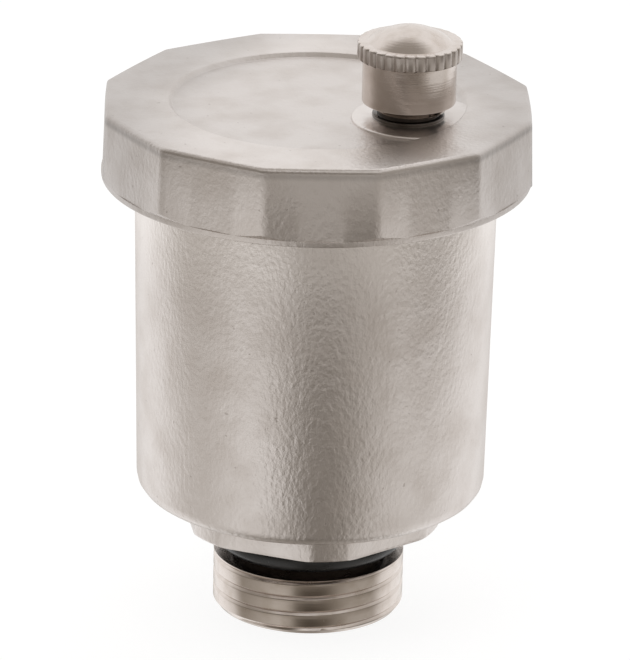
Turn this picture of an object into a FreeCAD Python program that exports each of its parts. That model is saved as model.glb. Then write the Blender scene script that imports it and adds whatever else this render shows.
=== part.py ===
import FreeCAD, Part
import math
import os

os.makedirs("parts", exist_ok=True)
Vector = FreeCAD.Vector

# Air release valve, all sizes in millimetres.
# Z is the axis of the inlet thread, and Z = 0 is the thread's lower end face.
# The front of the valve faces -Y. The air nozzle stands off the axis, on its own radial plane.

# Clearances between pieces
thread_clearance = 0.05
running_clearance = 0.04
seat_gap = 0.03
rest_gap = 0.1
link_gap = 0.15
ring_clearance = 0.02

# Inlet thread of the body, G 1/2, with the neck and the sealing ring above it
thread_r = 10.4775
thread_length = 6.33
thread_lead_in = 0.55
thread_run_out = 0.3
neck_r = 7.9
neck_length = 3.94
neck_wall = 1.0
sealing_ring_section_r = 1.3
sealing_ring_drop = 0.6
sealing_ring_sides = 12

# Hexagonal collar of the body
collar_across_flats = 27.0
collar_corner_stand = 1.07
collar_height = 3.43
collar_turn = 9.28
collar_chamfer = 0.3

# Float chamber of the body
chamber_foot_r = 19.07
chamber_draft = 0.99
chamber_height = 37.3
chamber_edge_r = 1.8
chamber_wall = 2.17
chamber_floor = 2.5
chamber_corner = 1.2
rim_step = 0.515
rim_height = 2.8
rim_chamfer = 0.3
rib_count = 4
rib_width = 1.6
rib_height = 1.3
rib_bore_gap = 1.35
rib_end_gap = 0.4

# Lid, a twelve-sided screw cover
lid_facets = 12
lid_turn = 1.35
lid_side_wall = 3.71
lid_facet_draft = 1.95
lid_height = 8.59
lid_wall = 2.95
lid_edge_chamfer = 0.45
lid_lip_width = 3.6
lid_lip_height = 0.64
lid_foot_slope = 0.8
lid_skirt_clearance = 0.18
recess_rim_width = 6.76
recess_depth = 0.45
recess_slope = 0.45
lid_ring_width = 2.1
lid_ring_height = 1.6
lid_ring_corner = 0.5

# Air nozzle and its place on the lid
nozzle_azimuth = -22.4
spot_face_margin = 0.9
boss_skirt = 0.77
boss_shift = 1.0
boss_height = 0.25
boss_chamfer = 0.2
nozzle_thread_r = 4.0
nozzle_neck_height = 6.25
nozzle_chamfer = 0.4
nozzle_relief_depth = 0.65
nozzle_relief_height = 0.55
nozzle_foot_step = 0.1
nozzle_foot_height = 0.3
nozzle_shoulder = 0.5
nozzle_end_height = 0.5
air_bore_r = 1.1
air_slot_width = 1.2
air_slot_depth = 0.8
air_slot_turn = -40.0
seat_r = 1.6
seat_tip_r = 1.0
seat_orifice_r = 0.55
seat_stand = 0.5
seat_length = 3.0
nozzle_washer_width = 1.9
nozzle_washer_thickness = 0.8
nozzle_nut_wall = 1.0
nozzle_nut_height = 1.8

# Dust cap, a knurled screw cap on the nozzle
cap_depth = 5.5
cap_wall = 1.0
cap_barrel_height = 5.0
cap_flange_width = 0.617
cap_flange_height = 1.75
cap_flange_chamfer = 0.15
cap_rim_width = 1.127
cap_dome_height = 1.62
cap_mouth_chamfer = 0.25
cap_seal_thickness = 0.9
cap_seal_clearance = 0.1
knurl_count = 30
knurl_groove_half_width = 0.22
knurl_groove_depth = 0.22

# Lever, its bracket and hinge pin
pad_arm = 3.8
lever_open_angle = 15.0
lever_thickness = 0.8
lever_half_width = 4.4
lever_tip_half_width = 2.6
lever_wide_length = 6.6
lever_taper_length = 3.6
lever_tip_margin = 1.7
knuckle_r = 1.3
pin_r = 0.75
pin_head_r = 1.15
pin_head_height = 0.5
pin_tail = 0.75
pin_ring_r = 1.4
pin_ring_thickness = 0.35
pin_groove_depth = 0.2
bracket_thickness = 0.8
bracket_side_gap = 0.3
bracket_wall_gap = 1.29
bracket_bend_r = 0.7
pad_overlap = 0.2
pad_thickness = 1.2
cup_wall = 0.3
cup_base = 0.4
cup_depth = 0.7
rivet_r = 0.8
rivet_head_r = 1.3
rivet_head_height = 0.35

# Float and the stem that links it to the lever
float_side_gap = 1.3
float_wall = 1.2
float_edge_chamfer = 1.2
float_base_thickness = 1.2
float_spigot_height = 2.0
float_spigot_wall = 1.2
float_boss_r = 3.2
float_boss_height = 0.8
float_socket_depth = 5.0
stem_r = 1.25
stem_neck_r = 0.8
stem_collar_r = 1.6
stem_collar_height = 0.8
stem_top_length = 1.1
stem_nut_across_flats = 5.0
stem_nut_height = 1.4
cross_pin_r = 0.5
cross_pin_half_length = 2.4

# Radii that follow from the sizes above
inlet_bore_r = neck_r - neck_wall
collar_corner_r = collar_across_flats / 2 + collar_corner_stand
chamber_bore_r = chamber_foot_r - chamber_wall
float_r = chamber_bore_r - float_side_gap
nozzle_stem_r = nozzle_thread_r - nozzle_shoulder
nozzle_washer_r = nozzle_stem_r + nozzle_washer_width
nozzle_nut_across_flats = 2 * (nozzle_stem_r + nozzle_nut_wall)
spot_face_r = nozzle_washer_r + spot_face_margin
boss_r = spot_face_r + boss_skirt
cap_bore_r = nozzle_thread_r + thread_clearance
cap_barrel_r = cap_bore_r + cap_wall
cap_flange_r = cap_barrel_r + cap_flange_width
cap_dome_r = cap_flange_r - cap_rim_width
pad_r = seat_r + pad_overlap

# Heights that follow from the sizes above
collar_z = thread_length + neck_length
foot_z = collar_z + collar_height
floor_z = foot_z + chamber_floor
shoulder_z = foot_z + chamber_height
rim_z = shoulder_z + rim_height
lid_underside_z = rim_z + lid_ring_height
lid_top_z = lid_underside_z + lid_wall
lid_foot_z = lid_top_z - lid_height
recess_z = lid_top_z - recess_depth
boss_z = recess_z + boss_height
nozzle_top_z = boss_z + nozzle_neck_height
cap_foot_z = nozzle_top_z + cap_seal_thickness - cap_depth
bracket_top_z = lid_underside_z - nozzle_washer_thickness
nut_top_z = bracket_top_z - bracket_thickness
nut_foot_z = nut_top_z - nozzle_nut_height
nozzle_end_z = nut_foot_z - nozzle_end_height
seat_tip_z = nozzle_end_z - seat_stand

# Hinge line of the lever, and where the lever meets the float's stem
pin_offset = chamber_bore_r - bracket_wall_gap - knuckle_r
nozzle_offset = pin_offset - pad_arm
plate_top_drop = knuckle_r - lever_thickness
pin_z = seat_tip_z - seat_gap - pad_thickness - cup_base + plate_top_drop
plate_middle_drop = knuckle_r - lever_thickness / 2
open_angle = math.radians(lever_open_angle)
plate_half_rise = lever_thickness / 2 / math.cos(open_angle)


def lever_height_over_float(angle):
    """Height of the lever plate's middle on the valve's axis, at a tilt in radians."""
    return pin_z - pin_offset * math.tan(angle) - plate_middle_drop / math.cos(angle)


lever_rest_z = lever_height_over_float(open_angle)
float_travel = lever_height_over_float(0) - lever_rest_z
collar_lift_z = lever_rest_z - plate_half_rise - stem_collar_r * math.tan(open_angle) - link_gap
cross_pin_z = lever_rest_z + plate_half_rise + cross_pin_r * math.tan(open_angle) + link_gap + cross_pin_r
stem_nut_z = collar_lift_z - stem_collar_height - stem_nut_height
float_top_z = stem_nut_z - float_boss_height
float_foot_z = floor_z + rib_height + rest_gap


def chamber_r(z):
    """Outer radius of the forged chamber, which narrows downwards."""
    return chamber_foot_r + (z - foot_z) * math.tan(math.radians(chamber_draft))


chamber_top_r = chamber_r(shoulder_z)
rim_thread_r = chamber_top_r - rim_step
lid_across_flats = 2 * (rim_thread_r + thread_clearance + lid_side_wall)
lid_lip_r = chamber_top_r + lid_lip_width
recess_r = lid_across_flats / 2 - recess_rim_width


def turned(points):
    """Solid of revolution about Z from an outline of (radius, height) points."""
    corners = [Vector(r, 0, z) for r, z in points]
    outline = Part.makePolygon(corners + corners[:1])
    return Part.Face(outline).revolve(Vector(0, 0, 0), Vector(0, 0, 1), 360)


def tube(outer_r, inner_r, low_z, high_z):
    """Plain ring between two heights."""
    height = high_z - low_z
    ring = Part.makeCylinder(outer_r, height, Vector(0, 0, low_z))
    return ring.cut(Part.makeCylinder(inner_r, height, Vector(0, 0, low_z)))


def polygon_wire(sides, across_flats, z, turn):
    """Regular polygon with a corner at the angle turn, measured from the front towards +X."""
    corner_r = across_flats / 2 / math.cos(math.pi / sides)
    corners = []
    for k in range(sides + 1):
        angle = math.radians(turn - 90 + 360 * k / sides)
        corners.append(Vector(corner_r * math.cos(angle), corner_r * math.sin(angle), z))
    return Part.makePolygon(corners)


def prism(sides, across_flats, low_z, high_z, turn=0.0):
    """Upright prism with a regular polygon as its base."""
    base = Part.Face(polygon_wire(sides, across_flats, low_z, turn))
    return base.extrude(Vector(0, 0, high_z - low_z))


def rounded_rings(solid, size, places):
    """Fillet the circular edges that lie at the given (radius, height) places."""
    chosen = []
    for edge in solid.Edges:
        if not isinstance(edge.Curve, Part.Circle):
            continue
        for r, z in places:
            if abs(edge.Curve.Radius - r) < 1e-4 and abs(edge.Curve.Center.z - z) < 1e-4:
                chosen.append(edge)
    return solid.makeFillet(size, chosen)


def on_nozzle_axis(shape):
    """Move a shape made about Z to the nozzle's axis on the lid."""
    shape.translate(Vector(nozzle_offset, 0, 0))
    return to_nozzle_plane(shape)


def to_nozzle_plane(shape):
    """Turn a shape made with the nozzle on +X into the nozzle's radial plane."""
    shape.rotate(Vector(0, 0, 0), Vector(0, 0, 1), nozzle_azimuth)
    return shape


def along_y(radius, low_y, high_y, x, z):
    """Round bar parallel to Y."""
    return Part.makeCylinder(radius, high_y - low_y, Vector(x, low_y, z), Vector(0, 1, 0))


def make_body():
    """Forged chamber with its rim thread, wrench collar, neck and inlet thread, in one piece."""
    outside = turned([
        (0, 0),
        (thread_r - thread_lead_in, 0),
        (thread_r, thread_lead_in),
        (thread_r, thread_length - thread_run_out),
        (thread_r - thread_run_out, thread_length),
        (neck_r, thread_length),
        (neck_r, collar_z),
        (neck_r, foot_z),
        (chamber_foot_r, foot_z),
        (chamber_top_r, shoulder_z),
        (rim_thread_r, shoulder_z),
        (rim_thread_r, rim_z - rim_chamfer),
        (rim_thread_r - rim_chamfer, rim_z),
        (0, rim_z),
    ])
    outside = rounded_rings(outside, chamber_edge_r, [(chamber_foot_r, foot_z)])
    outside = outside.fuse(make_collar())
    chamber = turned([
        (0, floor_z),
        (chamber_bore_r - chamber_corner, floor_z),
        (chamber_bore_r, floor_z + chamber_corner),
        (chamber_bore_r, rim_z),
        (0, rim_z),
    ])
    chamber = chamber.cut(make_ribs())
    bore = Part.makeCylinder(inlet_bore_r, floor_z, Vector(0, 0, 0))
    return outside.cut(chamber).cut(bore).removeSplitter()


def make_collar():
    """Wrench hexagon with its corners turned off, running up to the chamber's foot."""
    hexagon = prism(6, collar_across_flats, collar_z, foot_z, collar_turn)
    corner_cut = turned([
        (0, collar_z),
        (collar_corner_r - collar_chamfer, collar_z),
        (collar_corner_r, collar_z + collar_chamfer),
        (collar_corner_r, foot_z),
        (0, foot_z),
    ])
    return hexagon.common(corner_cut)


def make_ribs():
    """Radial ribs on the chamber floor that keep the float off the inlet."""
    rib_inner_r = inlet_bore_r + rib_bore_gap
    length = float_r - rib_end_gap - rib_inner_r
    ribs = []
    for k in range(rib_count):
        rib = Part.makeBox(length, rib_width, rib_height, Vector(rib_inner_r, -rib_width / 2, floor_z))
        rib.rotate(Vector(0, 0, 0), Vector(0, 0, 1), 360 * (k + 0.5) / rib_count)
        ribs.append(rib)
    return Part.makeCompound(ribs)


def make_connection_o_ring():
    """Rubber ring hanging loose on the neck, a little below the wrench collar."""
    middle_r = neck_r + ring_clearance + sealing_ring_section_r
    middle_z = collar_z - sealing_ring_drop - sealing_ring_section_r
    section = []
    for k in range(sealing_ring_sides):
        angle = 2 * math.pi * (k + 0.5) / sealing_ring_sides
        corner_r = sealing_ring_section_r / math.cos(math.pi / sealing_ring_sides)
        section.append((middle_r + corner_r * math.cos(angle), middle_z + corner_r * math.sin(angle)))
    return turned(section)


def make_lid():
    """Twelve-sided screw cover with a round lip below, a recessed top and the nozzle's boss."""
    across_at_foot = lid_across_flats + 2 * lid_height * math.tan(math.radians(lid_facet_draft))
    half_facet = 180 / lid_facets
    top_wire = polygon_wire(lid_facets, lid_across_flats, lid_top_z, lid_turn + half_facet)
    foot_wire = polygon_wire(lid_facets, across_at_foot, lid_foot_z, lid_turn + half_facet)
    block = Part.makeLoft([foot_wire, top_wire], True, True)
    top_edges = [e for e in block.Edges if abs(e.CenterOfMass.z - lid_top_z) < 1e-4]
    block = block.makeChamfer(lid_edge_chamfer, top_edges)
    lip_top_z = lid_foot_z + lid_lip_height
    turned_limit = turned([
        (0, lid_foot_z),
        (lid_lip_r, lid_foot_z),
        (lid_lip_r, lip_top_z),
        (lid_lip_r + lid_foot_slope, lip_top_z + lid_foot_slope),
        (across_at_foot, lip_top_z + lid_foot_slope),
        (across_at_foot, lid_top_z),
        (0, lid_top_z),
    ])
    block = block.common(turned_limit)
    lip = Part.makeCylinder(lid_lip_r, lid_lip_height, Vector(0, 0, lid_foot_z))
    block = block.fuse(lip)
    block = block.cut(make_lid_recess()).fuse(make_lid_boss())
    return block.cut(make_lid_hollow()).removeSplitter()


def make_lid_recess():
    """Shallow round recess of the lid's top, with a sloping wall."""
    return turned([
        (0, recess_z),
        (recess_r - recess_slope, recess_z),
        (recess_r, lid_top_z),
        (0, lid_top_z),
    ])


def make_lid_boss():
    """Low round boss in the recess, set a little outward of the nozzle that sits on it."""
    boss = turned([
        (0, lid_underside_z),
        (boss_r, lid_underside_z),
        (boss_r, boss_z - boss_chamfer),
        (boss_r - boss_chamfer, boss_z),
        (0, boss_z),
    ])
    boss.translate(Vector(boss_shift, 0, 0))
    return on_nozzle_axis(boss)


def make_lid_hollow():
    """Inside of the lid: skirt clearance, thread, sealing ring's seat and the nozzle's hole."""
    skirt_r = chamber_top_r + lid_skirt_clearance
    thread_in_lid_r = rim_thread_r + thread_clearance
    inside = turned([
        (0, lid_foot_z),
        (skirt_r, lid_foot_z),
        (skirt_r, shoulder_z + lid_skirt_clearance),
        (thread_in_lid_r, shoulder_z + lid_skirt_clearance),
        (thread_in_lid_r, lid_underside_z),
        (0, lid_underside_z),
    ])
    hole = Part.makeCylinder(nozzle_stem_r + thread_clearance, lid_wall, Vector(0, 0, lid_underside_z))
    spot_face = Part.makeCylinder(spot_face_r, lid_top_z - boss_z, Vector(0, 0, boss_z))
    return inside.fuse(on_nozzle_axis(hole)).fuse(on_nozzle_axis(spot_face))


def make_lid_o_ring():
    """Sealing ring squeezed between the body's rim and the underside of the lid."""
    outer_r = rim_thread_r
    inner_r = outer_r - lid_ring_width
    return turned([
        (inner_r + lid_ring_corner, rim_z),
        (outer_r - lid_ring_corner, rim_z),
        (outer_r, rim_z + lid_ring_corner),
        (outer_r, lid_underside_z - lid_ring_corner),
        (outer_r - lid_ring_corner, lid_underside_z),
        (inner_r + lid_ring_corner, lid_underside_z),
        (inner_r, lid_underside_z - lid_ring_corner),
        (inner_r, rim_z + lid_ring_corner),
    ])


def make_vent_nozzle():
    """Turned nozzle: threaded neck above the lid, threaded stem below, air bore along it."""
    foot_top_z = boss_z + nozzle_foot_height
    nozzle_foot_r = nozzle_thread_r - nozzle_foot_step
    nozzle_relief_r = nozzle_thread_r - nozzle_relief_depth
    thread_low_z = foot_top_z + nozzle_relief_height
    nozzle = turned([
        (0, nozzle_end_z),
        (nozzle_stem_r - nozzle_chamfer, nozzle_end_z),
        (nozzle_stem_r, nozzle_end_z + nozzle_chamfer),
        (nozzle_stem_r, boss_z),
        (nozzle_foot_r, boss_z),
        (nozzle_foot_r, foot_top_z),
        (nozzle_relief_r, foot_top_z),
        (nozzle_relief_r, thread_low_z),
        (nozzle_thread_r, thread_low_z),
        (nozzle_thread_r, nozzle_top_z - nozzle_chamfer),
        (nozzle_thread_r - nozzle_chamfer, nozzle_top_z),
        (0, nozzle_top_z),
    ])
    seat_hole = Part.makeCylinder(seat_r, seat_length, Vector(0, 0, nozzle_end_z))
    air_bore = Part.makeCylinder(air_bore_r, nozzle_top_z - nozzle_end_z, Vector(0, 0, nozzle_end_z))
    nozzle = nozzle.cut(seat_hole).cut(air_bore)
    slot_height = nozzle_top_z - thread_low_z
    for side in (0, 180):
        corner = Vector(nozzle_thread_r - air_slot_depth, -air_slot_width / 2, thread_low_z)
        slot = Part.makeBox(nozzle_thread_r, air_slot_width, slot_height, corner)
        slot.rotate(Vector(0, 0, 0), Vector(0, 0, 1), air_slot_turn - nozzle_azimuth + side)
        nozzle = nozzle.cut(slot)
    return on_nozzle_axis(nozzle)


def make_valve_seat():
    """Small seat pressed into the nozzle's lower end, with the orifice that the pad closes."""
    seat = turned([
        (seat_orifice_r, seat_tip_z),
        (seat_tip_r, seat_tip_z),
        (seat_r, nozzle_end_z),
        (seat_r, nozzle_end_z + seat_length),
        (air_bore_r, nozzle_end_z + seat_length),
        (seat_orifice_r, nozzle_end_z),
    ])
    return on_nozzle_axis(seat)


def make_nozzle_washer():
    """Sealing washer round the nozzle's stem, under the lid."""
    inner_r = nozzle_stem_r + thread_clearance
    return on_nozzle_axis(tube(nozzle_washer_r, inner_r, bracket_top_z, lid_underside_z))


def make_nozzle_nut():
    """Thin nut that clamps the bracket and the washer under the lid."""
    flat_turn = 90.0
    nut = prism(6, nozzle_nut_across_flats, nut_foot_z, nut_top_z, flat_turn)
    hole_r = nozzle_stem_r + thread_clearance
    nut = nut.cut(Part.makeCylinder(hole_r, nozzle_nut_height, Vector(0, 0, nut_foot_z)))
    return on_nozzle_axis(nut)


def ear_inner_y():
    """Half the distance between the bracket's two ears."""
    return max(lever_half_width, nozzle_nut_across_flats / 2) + bracket_side_gap


def make_lever_bracket():
    """Pressed bracket: a plate round the nozzle's stem and two ears bent down to hold the pin."""
    inner_y = ear_inner_y()
    outer_y = inner_y + bracket_thickness
    disc = Part.makeCylinder(nozzle_washer_r, bracket_thickness, Vector(nozzle_offset, 0, nut_top_z))
    wing = Part.makeBox(pad_arm + knuckle_r, 2 * outer_y, bracket_thickness,
                        Vector(nozzle_offset, -outer_y, nut_top_z))
    bracket = disc.fuse(wing)
    for low_y in (-outer_y, inner_y):
        ear = Part.makeBox(2 * knuckle_r, bracket_thickness, nut_top_z - pin_z,
                           Vector(pin_offset - knuckle_r, low_y, pin_z))
        eye = along_y(knuckle_r, low_y, low_y + bracket_thickness, pin_offset, pin_z)
        bracket = bracket.fuse(ear).fuse(eye)
    bracket = bracket.removeSplitter()
    bends = []
    for edge in bracket.Edges:
        middle = edge.CenterOfMass
        at_top = abs(middle.z - bracket_top_z) < 1e-4
        at_side = abs(abs(middle.y) - outer_y) < 1e-4
        if at_top and at_side:
            bends.append(edge)
    bracket = bracket.makeFillet(bracket_bend_r, bends)
    stem_hole = Part.makeCylinder(nozzle_stem_r + thread_clearance, bracket_thickness,
                                  Vector(nozzle_offset, 0, nut_top_z))
    pin_hole = along_y(pin_r, -outer_y, outer_y, pin_offset, pin_z)
    return to_nozzle_plane(bracket.cut(stem_hole).cut(pin_hole))


def make_hinge_pin():
    """Headed pin through both ears, with a groove for its retaining ring."""
    outer_y = ear_inner_y() + bracket_thickness
    pin = along_y(pin_r, -outer_y, outer_y + pin_ring_thickness + pin_tail, pin_offset, pin_z)
    head = along_y(pin_head_r, -outer_y - pin_head_height, -outer_y, pin_offset, pin_z)
    groove = along_y(pin_r, outer_y, outer_y + pin_ring_thickness, pin_offset, pin_z)
    core = along_y(pin_r - pin_groove_depth, outer_y, outer_y + pin_ring_thickness, pin_offset, pin_z)
    return to_nozzle_plane(pin.fuse(head).cut(groove.cut(core)).removeSplitter())


def make_pin_ring():
    """Open spring ring snapped into the pin's groove."""
    outer_y = ear_inner_y() + bracket_thickness
    groove_r = pin_r - pin_groove_depth
    ring = along_y(pin_ring_r, outer_y, outer_y + pin_ring_thickness, pin_offset, pin_z)
    ring = ring.cut(along_y(groove_r, outer_y, outer_y + pin_ring_thickness, pin_offset, pin_z))
    mouth = Part.makeBox(2 * groove_r, pin_ring_thickness, pin_ring_r,
                         Vector(pin_offset - groove_r, outer_y, pin_z - pin_ring_r))
    return to_nozzle_plane(ring.cut(mouth))


def opened(shape):
    """Tilt a lever piece from level, where the valve is shut, down to its open rest place."""
    shape.rotate(Vector(pin_offset, 0, pin_z), Vector(0, 1, 0), -lever_open_angle)
    return to_nozzle_plane(shape)


def make_lever():
    """Pressed lever: a rolled knuckle on the pin, a wide part for the pad, a slotted tip."""
    plate_z = pin_z - knuckle_r
    neck_end = lever_wide_length + lever_taper_length
    stem_reach = (pin_offset + plate_middle_drop * math.sin(open_angle)) / math.cos(open_angle)
    slot_half_width = stem_neck_r + link_gap + lever_thickness / 2 * math.tan(open_angle)
    slot_end = stem_reach + slot_half_width
    lever_length = slot_end + lever_tip_margin - lever_tip_half_width
    right_side = [
        (0, lever_half_width),
        (lever_wide_length, lever_half_width),
        (neck_end, lever_tip_half_width),
        (lever_length, lever_tip_half_width),
    ]
    left_side = [(reach, -half) for reach, half in reversed(right_side)]
    corners = [Vector(pin_offset - reach, y, plate_z) for reach, y in right_side + left_side]
    plate = Part.Face(Part.makePolygon(corners + corners[:1])).extrude(Vector(0, 0, lever_thickness))
    tip = Part.makeCylinder(lever_tip_half_width, lever_thickness,
                            Vector(pin_offset - lever_length, 0, plate_z))
    knuckle = along_y(knuckle_r, -lever_half_width, lever_half_width, pin_offset, pin_z)
    lever = plate.fuse(tip).fuse(knuckle)
    slot_width = 2 * slot_half_width
    slot = Part.makeBox(stem_reach - pin_offset, slot_width, lever_thickness,
                        Vector(pin_offset - stem_reach, -slot_half_width, plate_z))
    for reach in (pin_offset, stem_reach):
        slot = slot.fuse(Part.makeCylinder(slot_half_width, lever_thickness,
                                           Vector(pin_offset - reach, 0, plate_z)))
    rivet_hole = Part.makeCylinder(rivet_r, lever_thickness, Vector(nozzle_offset, 0, plate_z))
    bore = along_y(pin_r + running_clearance, -lever_half_width, lever_half_width, pin_offset, pin_z)
    return opened(lever.cut(slot).cut(rivet_hole).cut(bore).removeSplitter())


def make_pad_cup():
    """Cup that holds the rubber pad, riveted through the lever."""
    plate_top_z = pin_z - plate_top_drop
    plate_foot_z = plate_top_z - lever_thickness
    floor_top_z = plate_top_z + cup_base
    cup = turned([
        (0, plate_foot_z - rivet_head_height),
        (rivet_head_r, plate_foot_z - rivet_head_height),
        (rivet_head_r, plate_foot_z),
        (rivet_r, plate_foot_z),
        (rivet_r, plate_top_z),
        (pad_r + cup_wall, plate_top_z),
        (pad_r + cup_wall, floor_top_z + cup_depth),
        (pad_r, floor_top_z + cup_depth),
        (pad_r, floor_top_z),
        (0, floor_top_z),
    ])
    cup.translate(Vector(nozzle_offset, 0, 0))
    return opened(cup)


def make_valve_pad():
    """Round rubber pad that closes the seat when the float rises."""
    pad_foot_z = pin_z - plate_top_drop + cup_base
    return opened(Part.makeCylinder(pad_r, pad_thickness, Vector(nozzle_offset, 0, pad_foot_z)))


def make_float_shell():
    """Moulded float, a closed-top cup with a socket for the stem inside its crown."""
    crown_foot_z = float_top_z - float_wall
    inner_r = float_r - float_wall
    socket_foot_z = stem_nut_z - float_socket_depth - float_wall
    shell = turned([
        (inner_r, float_foot_z + float_base_thickness),
        (float_r, float_foot_z + float_base_thickness),
        (float_r, float_top_z - float_edge_chamfer),
        (float_r - float_edge_chamfer, float_top_z),
        (float_boss_r, float_top_z),
        (float_boss_r, stem_nut_z),
        (0, stem_nut_z),
        (0, socket_foot_z),
        (float_boss_r, socket_foot_z),
        (float_boss_r, crown_foot_z),
        (inner_r - float_edge_chamfer, crown_foot_z),
        (inner_r, crown_foot_z - float_edge_chamfer),
    ])
    socket_z = stem_nut_z - float_socket_depth
    return shell.cut(Part.makeCylinder(stem_r, float_socket_depth, Vector(0, 0, socket_z)))


def make_float_base():
    """Disc welded under the float, with a spigot that centres it in the shell."""
    base_top_z = float_foot_z + float_base_thickness
    spigot_r = float_r - float_wall - running_clearance
    return turned([
        (0, float_foot_z),
        (float_r, float_foot_z),
        (float_r, base_top_z),
        (spigot_r, base_top_z),
        (spigot_r, base_top_z + float_spigot_height),
        (spigot_r - float_spigot_wall, base_top_z + float_spigot_height),
        (spigot_r - float_spigot_wall, base_top_z),
        (0, base_top_z),
    ])


def make_float_stem():
    """Turned stem in the float's crown: its collar lifts the lever, its neck passes the slot."""
    stem = turned([
        (0, stem_nut_z - float_socket_depth),
        (stem_r, stem_nut_z - float_socket_depth),
        (stem_r, stem_nut_z + stem_nut_height),
        (stem_collar_r, stem_nut_z + stem_nut_height),
        (stem_collar_r, collar_lift_z),
        (stem_neck_r, collar_lift_z),
        (stem_neck_r, cross_pin_z + stem_top_length),
        (0, cross_pin_z + stem_top_length),
    ])
    pin_hole = along_y(cross_pin_r, -stem_r, stem_r, 0, cross_pin_z)
    return to_nozzle_plane(stem.cut(pin_hole))


def make_stem_nut():
    """Nut that locks the stem on the float's crown."""
    nut_top = stem_nut_z + stem_nut_height
    nut = prism(6, stem_nut_across_flats, stem_nut_z, nut_top)
    nut = nut.cut(Part.makeCylinder(stem_r, stem_nut_height, Vector(0, 0, stem_nut_z)))
    return to_nozzle_plane(nut)


def make_stem_pin():
    """Cross pin over the lever's tip, which pulls the lever down with the float."""
    half = cross_pin_half_length
    return to_nozzle_plane(along_y(cross_pin_r, -half, half, 0, cross_pin_z))


def make_dust_cap():
    """Turned cap with a domed top, a knurled flange and a plain barrel, threaded inside."""
    barrel_top_z = cap_foot_z + cap_barrel_height
    flange_top_z = barrel_top_z + cap_flange_height
    ceiling_z = cap_foot_z + cap_depth
    blank = turned([
        (cap_bore_r + cap_mouth_chamfer, cap_foot_z),
        (cap_barrel_r, cap_foot_z),
        (cap_barrel_r, barrel_top_z),
        (cap_flange_r, barrel_top_z),
        (cap_flange_r, flange_top_z - cap_flange_chamfer),
        (cap_flange_r - cap_flange_chamfer, flange_top_z),
        (0, flange_top_z),
        (0, ceiling_z),
        (cap_bore_r, ceiling_z),
        (cap_bore_r, cap_foot_z + cap_mouth_chamfer),
    ])
    dome_sphere_r = (cap_dome_r ** 2 + cap_dome_height ** 2) / (2 * cap_dome_height)
    dome = Part.makeSphere(dome_sphere_r, Vector(0, 0, flange_top_z + cap_dome_height - dome_sphere_r))
    above = Part.makeCylinder(cap_flange_r, cap_dome_height, Vector(0, 0, flange_top_z))
    cap = blank.fuse(dome.common(above))
    root = Vector(cap_flange_r - knurl_groove_depth, 0, barrel_top_z)
    mouth_x = cap_flange_r + knurl_groove_depth
    mouth_half = 2 * knurl_groove_half_width
    left = Vector(mouth_x, -mouth_half, barrel_top_z)
    right = Vector(mouth_x, mouth_half, barrel_top_z)
    cutter = Part.Face(Part.makePolygon([root, left, right, root])).extrude(Vector(0, 0, cap_flange_height))
    grooves = []
    for k in range(knurl_count):
        groove = cutter.copy()
        groove.rotate(Vector(0, 0, 0), Vector(0, 0, 1), 360 * k / knurl_count)
        grooves.append(groove)
    cap = cap.cut(Part.makeCompound(grooves))
    return on_nozzle_axis(cap)


def make_cap_seal():
    """Rubber disc in the cap's crown that closes the nozzle's top."""
    seal_r = cap_bore_r - cap_seal_clearance
    return on_nozzle_axis(Part.makeCylinder(seal_r, cap_seal_thickness, Vector(0, 0, nozzle_top_z)))


pieces = {
    "body": make_body,
    "connection_o_ring": make_connection_o_ring,
    "lid": make_lid,
    "lid_o_ring": make_lid_o_ring,
    "vent_nozzle": make_vent_nozzle,
    "valve_seat": make_valve_seat,
    "nozzle_washer": make_nozzle_washer,
    "nozzle_nut": make_nozzle_nut,
    "lever_bracket": make_lever_bracket,
    "hinge_pin": make_hinge_pin,
    "pin_ring": make_pin_ring,
    "lever": make_lever,
    "pad_cup": make_pad_cup,
    "valve_pad": make_valve_pad,
    "float_shell": make_float_shell,
    "float_base": make_float_base,
    "float_stem": make_float_stem,
    "stem_nut": make_stem_nut,
    "stem_pin": make_stem_pin,
    "dust_cap": make_dust_cap,
    "cap_seal": make_cap_seal,
}

for name, make_piece in pieces.items():
    make_piece().exportStep("parts/" + name + ".step")

print("float travel", round(float_travel, 4))
print("hinge line", round(pin_offset, 4), round(pin_z, 4))
print("overall height", round(cap_foot_z + cap_barrel_height + cap_flange_height + cap_dome_height, 3))
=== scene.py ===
import math

import bmesh
import bpy
from mathutils import Matrix, Vector


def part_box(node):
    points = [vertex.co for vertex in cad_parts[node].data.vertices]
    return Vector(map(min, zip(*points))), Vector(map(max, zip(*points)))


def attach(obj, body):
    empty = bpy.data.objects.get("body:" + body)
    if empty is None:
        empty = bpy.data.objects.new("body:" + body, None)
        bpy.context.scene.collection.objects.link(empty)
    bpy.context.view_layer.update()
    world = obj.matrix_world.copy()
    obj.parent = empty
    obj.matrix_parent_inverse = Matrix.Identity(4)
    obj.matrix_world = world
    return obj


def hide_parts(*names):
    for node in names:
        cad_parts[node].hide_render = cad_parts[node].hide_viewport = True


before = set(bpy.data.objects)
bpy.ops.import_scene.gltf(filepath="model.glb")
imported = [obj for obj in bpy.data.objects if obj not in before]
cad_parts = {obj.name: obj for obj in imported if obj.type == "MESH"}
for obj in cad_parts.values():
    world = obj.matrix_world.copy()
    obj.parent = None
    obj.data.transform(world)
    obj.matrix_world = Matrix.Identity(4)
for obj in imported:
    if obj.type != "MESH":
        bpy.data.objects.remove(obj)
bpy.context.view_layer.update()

# The scene, shown with the Standard view transform.
scene = bpy.context.scene
scene.view_settings.view_transform = "Standard"

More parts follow.
